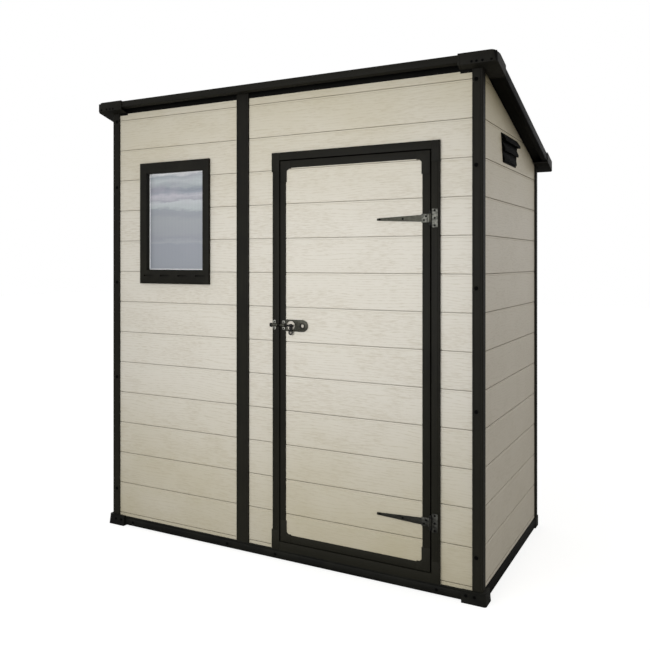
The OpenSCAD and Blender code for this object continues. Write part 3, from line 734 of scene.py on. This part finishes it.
# Roof: edge pieces, and a panel with valleys down the slope
roof = {"slope": math.tan(math.radians(14.7)), "radius": 2.0, "fasciaSlim": 9, "margin": 60, "pitch": 140,
        "valley": 34, "valleySide": 5, "valleyDepth": 3}
for node in ("front_fascia", "rear_fascia", "left_rake", "right_rake"):
    piece = copyNode(node, "_eased")
    if node == "front_fascia":
        low, high = sized(node)
        shift(piece, (0, 0, roof["fasciaSlim"]), lambda co: co.z < (low.z + high.z) / 2)
    softenEdges(piece, roof["radius"])
    # the rakes take the blackest resin: partly their own colour, partly painted shade under the eaves
    finishPiece(piece, darkLevel if "fascia" in node else blackDeep, [node])
low, high = sized("roof_panel")
piece = copyNode("roof_panel", "_valleys")
count = int((high.x - low.x - roof["margin"]) // roof["pitch"])
middles = [(i - (count - 1) / 2) * roof["pitch"] for i in range(count)]
half, inner = roof["valley"] / 2, roof["valley"] / 2 - roof["valleySide"]
for middle in middles:
    cutAcross(0, [middle + x for x in (-half, -inner, inner, half)])
pick(piece, "VERT", lambda co, v: v.normal.z > 0 and any(near(co.x, m, inner + 1) for m in middles))
bpy.ops.transform.translate(value=(0, 0, -roof["valleyDepth"] * mm))
cleanFlats()
# the panel takes the blackest resin: partly its own colour, partly painted shade of the soffit
finishPiece(piece, blackDeep, ["roof_panel"])


# Corner caps: rounded, with a fine line near their inner ends and screws let into their front faces
caps = {"radius": 5, "corner": 15, "wall": 2.9, "footRadius": 1.0, "lean": 11, "tip": (930, 540),
        "outer": (905, 530), "ends": (792, 421), "band": 9, "line": 0.9, "lineHalf": 0.8,
        "screws": (843, 861, 882, 914), "screwHeight": 1976, "hole": 4.8, "holeDepth": 1.9}


def overSlope(co):
    return co.z + roof["slope"] * co.y


low, high = sized("roof_corner_caps")
capHeights = [overSlope(v.co / mm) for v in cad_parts["roof_corner_caps"].data.vertices]
capTop, capFoot = max(capHeights), min(capHeights)
piece = copyNode("roof_corner_caps", "_moulded")


def capSkins(co):
    # whether a point lies on the caps' outer side, end, top and foot
    return [near(abs(co.x), high.x, 0.05), near(abs(co.y), high.y, 0.05),
            near(overSlope(co), capTop, 0.05), near(overSlope(co), capFoot, 0.05)]


for side in (-1, 1):  # the front corners lean in a little towards their top
    shift(piece, (-side * caps["lean"], 0, 0), lambda co: co.x * side > caps["tip"][0]
          and co.y < -caps["tip"][1] and overSlope(co) > capTop - 4)
# plan corners: the inner skin is rounded first, so that the wall keeps its thickness
for inset in (caps["wall"], 0):
    softenEdges(piece, caps["corner"] - inset, 5, lambda co, edge: span(edge, 2) > 20
                and near(abs(co.y), high.y - inset, 0.2)
                and high.x - inset - caps["lean"] - 0.2 < abs(co.x) < high.x - inset + 0.2)
softenEdges(piece, caps["radius"], 3, lambda co, edge: capSkins(co)[2]
            and any(abs(co[k]) > caps["outer"][k] for k in (0, 1))
            and all(abs(co[k]) > caps["ends"][k] + 3 for k in (0, 1)))
softenEdges(piece, caps["footRadius"], 2, lambda co, edge: capSkins(co)[3] and sum(capSkins(co)) > 1)
for axis, end in enumerate(caps["ends"]):
    line = end + caps["band"]
    cutAcross(axis, [side * (line + w * caps["lineHalf"]) for side in (-1, 1) for w in (-1, 0, 1)])
    pick(piece, "VERT", lambda co, v: near(abs(co[axis]), line, 0.02)
         and (abs(co[1 - axis]) > high[1 - axis] - 2.5 or overSlope(co) > capTop - 2.5))
    bpy.ops.transform.shrink_fatten(value=-caps["line"] * mm)
capScrews = [(side * x, low.y, caps["screwHeight"], 0) for side in (-1, 1) for x in caps["screws"]]
cutter = copyAbout("cutter", addRound("cutter", (0, 0, 0), caps["hole"], 2 * caps["holeDepth"]), capScrews)
finishPiece(combine(piece, cutter), darkMoulded, ["roof_corner_caps"])

# Clips: one behind each front cap's inner end, over the top of the planks
clips = {"x": (790, 834), "y": (-504, -501), "z": (1947.5, 1970), "radius": 0.9}
tabs = []
for side in (-1, 1):
    corners = [(side * clips["x"][k], clips["y"][k], clips["z"][k]) for k in (0, 1)]
    tabs.append(softenEdges(addBox("tab", *corners), clips["radius"]))
finishPiece(joinPieces("roof_cap_clips", tabs), blackMoulded)
stripFoot = sized("front_wall_window_side")[1].z
for node, material in (("end_top_trims", blackLevel), ("side_top_trims", blackDeep)):
    piece = copyNode(node, "_eased")
    if node == "end_top_trims":
        shift(piece, (0, 0, stripSlim), lambda co: co.y < 0 and co.z < stripFoot + 1)
    finishPiece(softenEdges(piece, 1.0), material, [node])
print("roof modelled")


# Vents: plate and hoods with eased edges, a thick lip along each hood and a cheek at both its ends
vents = {"plateOut": 870, "out": (4, 9.5, 15), "halves": (113.5, 124.8, 136.2), "hood": 38.33, "shelf": 12,
         "lipDown": 6, "lipUp": 3.5, "lipThick": 4.5, "cheek": 2.6}
low, high = sized("right_vent")
ventY, plateOut = (low.y + high.y) / 2, vents["plateOut"]
for node, side in (("left_vent", -1), ("right_vent", 1)):
    hoods = [softenEdges(copyNode(node, "_plate"), 0.8, 2, lambda co, edge: abs(co.x) > plateOut - 2)]
    for k, (out, half) in enumerate(zip(vents["out"], vents["halves"])):
        foot, tip = low.z + k * vents["hood"], plateOut + out
        shelf, top = foot + vents["shelf"], foot + vents["hood"]
        lip = addBox("lip", (side * (tip - vents["lipThick"]), ventY - half, shelf - vents["lipDown"]),
                     (side * tip, ventY + half, shelf + vents["lipUp"]))
        hoods.append(softenEdges(lip, 1.4, 3))
        for end in (-1, 1):
            cheek = addBox("cheek", (side * (plateOut - 1), ventY + end * half, shelf - vents["lipDown"] + 1),
                           (side * (tip - 0.5), ventY + end * (half - vents["cheek"]), top - 1))
            shift(cheek, (-side * (out - 0.7), 0, 0),
                  lambda co: co.z > top - 2 and abs(co.x) > plateOut + 0.5)
            hoods.append(softenEdges(cheek, 0.6))
    finishPiece(joinPieces(node + "_hoods", hoods), blackNylon, [node])


# Window: frame with a splay round the light and four weep slots in its foot, then a pale glazing bead
window = {"radius": 1.8, "splay": 2, "proud": 5, "slim": 9, "front": -501, "lap": 6, "topIn": 6, "rightIn": 3,
          "slots": (49, 144, 241, 338), "slotAt": 37, "slotHigh": 6.5, "slotLong": 50, "slotDepth": 10,
          "bead": 4.6, "beadOut": 2.6, "beadRadius": 0.8}
low, high = sized("window_frame")
paneLow, paneHigh = sized("window_pane")
lap = Vector((window["lap"], 0, window["lap"]))
lightLow, lightHigh = paneLow + lap, paneHigh - lap
piece = copyNode("window_frame", "_moulded")
shift(piece, (0, -window["proud"], 0), lambda co: co.y < low.y + 0.1)
low.y -= window["proud"]
shift(piece, (-window["slim"], 0, 0), lambda co: co.y < window["front"] and near(co.x, high.x))
# the light is a little smaller than its hole
for axis, move in ((2, window["topIn"]), (0, window["rightIn"])):
    shift(piece, alongAxis(axis, -move), lambda co: near(co[axis], lightHigh[axis]))
    lightHigh[axis] -= move
softenEdges(piece, window["splay"], 1, lambda co, edge: co.y < low.y + 0.1
            and all(lightLow[k] - 1 < co[k] < lightHigh[k] + 1 for k in (0, 2)))
softenEdges(piece, window["radius"], 2, lambda co, edge: co.y < low.y + 0.1 and sharp(edge, 60))
slotX = [(low.x + x - window["slotLong"] / 2, low.x + x + window["slotLong"] / 2) for x in window["slots"]]
slotZ = low.z + window["slotAt"]
cutAcross(2, [slotZ - window["slotHigh"] / 2, slotZ + window["slotHigh"] / 2])
cutAcross(0, [x for ends in slotX for x in ends])
pick(piece, "FACE", lambda co, face: face.normal.y < -0.99 and near(co.z, slotZ, 2)
     and any(a < co.x < b for a, b in slotX))
bpy.ops.mesh.extrude_region_move(TRANSFORM_OT_translate={"value": (0, window["slotDepth"] * mm, 0)})
cleanFlats()
finishPiece(piece, darkMoulded, ["window_frame"])
bead = addBox("glazing_bead", (lightLow.x, paneLow.y - window["beadOut"], lightLow.z),
              (lightHigh.x, paneLow.y, lightHigh.z))
openThrough(bead, 1, window["bead"])
finishPiece(softenEdges(bead, window["beadRadius"]), gasket)
print("vents and window modelled")


# Hinges: straps and plates softened, with mottled cover plates, screws and a cap at each strap's tip
hinges = {"heights": (270, 1416), "face": -514.5, "cover": 0.7, "coverRadius": 0.3, "jambCover": (-20.9, 2),
          "jambHalf": 35.1, "jambCorner": 2.5, "root": 645.5, "rootAcross": 23.5, "rootGap": 1.8,
          "rootHalf": 16.2, "knuckleAcross": 5.5, "jambScrewIn": 10, "jambScrews": (-28, 0, 28),
          "strapScrews": ((572, 0), (656, -7), (664, 7)), "tip": 479, "screw": 4.1, "screwHigh": 1.3}
for node, material, body in (("jamb_hinge_plates", blackened, "shed"), ("strap_hinges", passivated, "door")):
    finishMetal(softenEdges(copyNode(node, "_pressed"), 0.5), material, body, [node])
plateX = sized("jamb_hinge_plates")[1].x
rootX, faceY = hinges["root"], hinges["face"]
coverY = faceY - hinges["cover"]
gapX = rootX + hinges["rootAcross"] + hinges["rootGap"]
covers, roots = [], []
for z in hinges["heights"]:
    cover = addBox("jamb_cover", (plateX + hinges["jambCover"][0], coverY, z - hinges["jambHalf"]),
                   (plateX + hinges["jambCover"][1], faceY + 0.5, z + hinges["jambHalf"]))
    softenEdges(cover, hinges["jambCorner"], 3, lambda co, edge: span(edge, 1) > 1)
    covers.append(softenEdges(cover, hinges["coverRadius"]))
    for x0, x1 in ((rootX + 0.4, rootX + hinges["rootAcross"]), (gapX, gapX + hinges["knuckleAcross"])):
        root = addBox("root_cover", (x0, coverY, z - hinges["rootHalf"]),
                      (x1, faceY + 0.5, z + hinges["rootHalf"]))
        roots.append(softenEdges(root, hinges["coverRadius"]))
finishMetal(joinPieces("hinge_jamb_cover_plates", covers), plated)
finishMetal(joinPieces("hinge_root_cover_plates", roots), plated, "door")
places = [(plateX - hinges["jambScrewIn"], coverY, z + dz, 0)
          for z in hinges["heights"] for dz in hinges["jambScrews"]]
placeScrews("hinge_jamb_screws", hinges["screw"], hinges["screwHigh"], places)
places = [(x, coverY if x > rootX else faceY, z + dz, 0)
          for z in hinges["heights"] for x, dz in hinges["strapScrews"]]
places += [(hinges["tip"], faceY, z, 0) for z in hinges["heights"]]
placeScrews("hinge_strap_screws", hinges["screw"], hinges["screwHigh"], places, "door")


# Latch: hasp plate with a round window and a padlock hole, keep and guide tubes on grey lugs, and the bolt
latch = {"plate": 2, "arm": 20, "window": 19, "windowAt": 88, "hole": 8.5, "boss": 12.5, "bossHigh": 2.0,
         "shadeTube": 11, "shadeTubeBore": 8.1, "shadeTubeLong": 8.8, "tube": 6.5, "guideBore": 4.3, "keepBore": 4.4,
         "keepShort": 6, "collar": 8.5, "collarLong": 7, "saddleHalf": 5.5, "lugFoot": 6.2, "lugTop": 19.8,
         "lug": 2.2, "lugRound": 5.5, "screw": 2.5, "screwHigh": 1.2, "screwAt": 13,
         "guideLug": (3, 17), "keepLug": (3.5, 17.5), "sleeve": (6, 3.6), "sleeveIn": 12, "sleeveZ": (-22, 7)}
plateLow, plateHigh = sized("latch_plate")
keepLow, keepHigh = sized("latch_keep")
latchZ, roundR = (plateLow.z + plateHigh.z) / 2, (plateHigh.z - plateLow.z) / 2
latchY, plateY = plateLow.y + latch["tube"], plateHigh.y  # the bolt's axis, and the door's face
roundX = plateHigh.x - roundR
plate, bossDepth = latch["plate"], latch["plate"] + latch["bossHigh"]


def addDisc(x, y, radius, length, corners):
    return addRound("disc", (x, y, latchZ), radius, length, corners)


def makeTube(name, left, right, radius, bore):
    # round the bolt's axis
    tube = addRound(name, ((left + right) / 2, latchY, latchZ), radius, right - left, 32, "X")
    openThrough(tube, 0, radius - bore)
    return softenEdges(tube, 0.6, 2, lambda co, edge: sharp(edge, 60))


hasp = addDisc(roundX, plateY - plate / 2, roundR, plate, 64)
arm = addBox("arm", (plateLow.x + latch["arm"], plateY - plate, latchZ - roundR),
             (roundX, plateY, latchZ + roundR))
hasp = combine(hasp, arm, "UNION")
hasp = combine(hasp, addDisc(roundX, plateY - bossDepth / 2, latch["boss"], bossDepth, 48), "UNION")
hasp = combine(hasp, addDisc(latch["windowAt"], plateY, latch["window"], 20, 48))
hasp = combine(hasp, addDisc(roundX, plateY, latch["hole"], 20, 40))
softenEdges(hasp, 0.5, 2, lambda co, edge: co.y < plateY - 1.5 and sharp(edge, 60))
finishMetal(joinPieces("hasp_plate", [hasp]), passivated, "door", ["latch_plate"])
guideX = [plateLow.x + x for x in latch["guideLug"]]
keepX = latch["keepLug"]
keepLeft = keepLow.x + latch["keepShort"]
for name, left, right, bore, ears, body, nodes in (
        ("latch_guide", plateLow.x, plateLow.x + latch["arm"], latch["guideBore"], guideX, "door", []),
        ("latch_keep_tube", keepLeft, keepHigh.x, latch["keepBore"], keepX, "shed", ["latch_keep"])):
    tube = makeTube(name, left, right, latch["tube"], bore)
    saddle = addBox("saddle", (ears[0], latchY + latch["tube"] - 1.6, latchZ - latch["saddleHalf"]),
                    (ears[1], plateY, latchZ + latch["saddleHalf"]))
    finishMetal(joinPieces(name, [tube, softenEdges(saddle, 0.5)]), passivated, body, nodes)
collar = makeTube("latch_keep_collar", keepLeft, keepLeft + latch["collarLong"], latch["collar"],
                  latch["tube"] - 0.2)
finishMetal(collar, blackened)
# a black tube inside the padlock hole: painted shade, so that the hole's reveal reads dark
shadeTube = addDisc(roundX, plateY - 1.6, latch["shadeTube"], latch["shadeTubeLong"], 40)
shadeTube = combine(shadeTube, addDisc(roundX, plateY, latch["shadeTubeBore"], 30, 40))
finishMetal(joinPieces("hasp_painted_shade_tube", [softenEdges(shadeTube, 0.4)]), blackened, "door")
for name, ears, body in (("latch_guide_", guideX, "door"), ("latch_keep_", keepX, "shed")):
    lugs = []
    for side in (-1, 1):
        lug = addBox("lug", (ears[0], plateY - latch["lug"], latchZ + side * latch["lugFoot"]),
                     (ears[1], plateY, latchZ + side * latch["lugTop"]))
        pick(lug, "EDGE", lambda co, edge: span(edge, 1) > 1 and (co.z - latchZ) * side > 15)
        bpy.ops.mesh.bevel(offset=latch["lugRound"] * mm, segments=5, affect="EDGES")
        lugs.append(softenEdges(lug, 0.5, 2, lambda co, edge: co.y < plateY - 2))
    finishMetal(joinPieces(name + "lugs", lugs), brightPlated, body)
    places = [(sum(ears) / 2, plateY - latch["lug"], latchZ + side * latch["screwAt"], 0) for side in (-1, 1)]
    placeScrews(name + "screws", latch["screw"], latch["screwHigh"], places, body)
finishMetal(softenEdges(copyNode("latch_bolt", "_turned"), 0.6), blackened, "bolt", ["latch_bolt"])
sleeveX = sized("latch_bolt")[1].x - latch["sleeveIn"]
corners = [(sleeveX + side * latch["sleeve"][0], latchY + side * latch["sleeve"][1], latchZ + z)
           for side, z in zip((-1, 1), latch["sleeveZ"])]
finishMetal(softenEdges(addBox("latch_bolt_sleeve", *corners), 2.4, 4), blackened, "bolt")
print("hinges and latch modelled")


# Bolts in the posts, each in a shallow moulded dish
bolts = {"front": (1920, 1606, 1154, 702, 169), "rear": (1662, 1154, 702, 169), "fromCorner": 25,
         "head": 7.2, "headHigh": 2.6, "dish": 10.5, "dishRim": 1.2, "dishInner": 7.6, "dishHigh": 1.0}
postLow, postHigh = sized("front_right_post")
boltX = postHigh.x - bolts["fromCorner"]
places = [(side * boltX, postLow.y, z, 0) for side in (-1, 1) for z in bolts["front"]]
places += [(side * boltX, -postLow.y, z, 180) for side in (-1, 1) for z in bolts["rear"]]
dish = addRound("dish", (0, -bolts["dishHigh"] / 2, 0), bolts["dish"], bolts["dishHigh"], 32)
pick(dish, "FACE", lambda co, face: face.normal.y < -0.99)
bpy.ops.mesh.inset(thickness=bolts["dishRim"] * mm)
bpy.ops.mesh.inset(thickness=(bolts["dish"] - bolts["dishInner"] - bolts["dishRim"]) * mm,
                   depth=-bolts["dishHigh"] * 0.7 * mm)
softenEdges(dish, 0.3, 2, lambda co, edge: co.y < -bolts["dishHigh"] * 0.9)
finishPiece(copyAbout("post_bolt_dishes", dish, places), darkMoulded)
placeScrews("post_bolts", bolts["head"], bolts["headHigh"], places)

# Screws in the feet, the front rail and the roof caps
screws = {"feet": (815, 846), "footFace": -521.5, "footHeight": 28, "rail": (-752, -227, 12, 702),
          "railFace": -510, "height": 21, "radius": 6, "capRadius": 4.4, "high": 1.6}
places = [(side * x, screws["footFace"], screws["footHeight"], 0) for side in (-1, 1) for x in screws["feet"]]
places += [(x, screws["railFace"], screws["height"], 0) for x in screws["rail"]]
placeScrews("base_screws", screws["radius"], screws["high"], places)
places = [(x, y + caps["holeDepth"] - 0.2, z, turn) for x, y, z, turn in capScrews]
placeScrews("roof_cap_screws", screws["capRadius"], screws["high"], places)
print("bolts and screws placed")

# Floor and backdrop: only the camera, mirrors and glass see them as white
stage = {"colour": "#a2a29f", "Roughness": 0.9, "size": 40.0, "lift": 0.8, "fill": 0.5}
deselectAll()
bpy.ops.mesh.primitive_plane_add(size=stage["size"], location=(0, 0, 0))
floor = bpy.context.object
floor.name = "studio_floor"
paint = Surface("painted_floor_matt", stage)
paint.shader["Emission Color"].default_value = (1, 1, 1, 1)
seen = paint.add("LightPath", {}, "Is Camera Ray")
paint.link(paint.maths("MULTIPLY", seen, stage["lift"]), "Emission Strength")
floor.data.materials.append(paint.material)

world = bpy.data.worlds.new("studio")
bpy.context.scene.world = world
world.use_nodes = True
tree = world.node_tree
rays = addNode(tree, "LightPath", {}).node.outputs
seen = rays["Is Camera Ray"]
for other in ("Is Transmission Ray", "Is Glossy Ray"):
    seen = addNode(tree, "Math", {0: seen, 1: rays[other]}, operation="MAXIMUM")
power = addNode(tree, "MapRange", {0: seen, "To Min": stage["fill"], "To Max": 1.0})
tree.links.new(power, tree.nodes["Background"].inputs["Strength"])
tree.nodes["Background"].inputs["Color"].default_value = (1, 1, 1, 1)


def addHolder(name, data, place):
    holder = bpy.data.objects.new(name, data)
    bpy.context.scene.collection.objects.link(holder)
    holder.location = place
    return holder


# Lamps: a soft key at door height in front, two weaker ones to the left and to the right
lamps = {
    "key": {"place": (0.1, -2.5, 1.3), "aim": (0.1, -0.5, 1.3), "size": 1.2, "watts": 23, "tone": "#ffffff"},
    "left": {"place": (-1.4, -3.5, 1.3), "aim": (-0.2, -0.5, 1.3), "size": 1.3, "watts": 9, "tone": "#ffffff"},
    "right": {"place": (4.2, 0.2, 1.2), "aim": (0.87, 0.0, 1.0), "size": 2.0, "watts": 12.5, "tone": "#fff5ea"},
}
for name, lamp in lamps.items():
    light = bpy.data.lights.new(name, "AREA")
    light.size, light.energy = lamp["size"], lamp["watts"]
    light.color = linearColour(lamp["tone"])[:3]
    holder = addHolder(name, light, lamp["place"])
    holder.visible_camera = False
    aim = Vector(lamp["aim"]) - Vector(lamp["place"])
    holder.rotation_euler = aim.to_track_quat("-Z", "Y").to_euler()

# Camera: level, to the right of the front, with the lens shifted to frame the shed
view = {"place": (1.592, -3.382, 1.252), "turn": 31.14, "lens": 43.09, "sensor": 36, "shift": (0.1254, -0.0975)}
camera = bpy.data.cameras.new("camera")
camera.sensor_width, camera.lens = view["sensor"], view["lens"]
camera.shift_x, camera.shift_y = view["shift"]
holder = addHolder("camera", camera, view["place"])
holder.rotation_euler = (math.radians(90), 0, math.radians(view["turn"]))
bpy.context.scene.camera = holder
bpy.context.scene.view_settings.view_transform = "Standard"

for node, material in {"window_pane": paneMaterial, "floor_panel": darkMoulded}.items():
    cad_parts[node].data.materials.clear()
    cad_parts[node].data.materials.append(material)
deselectAll()
print("stage, lamps and camera set")
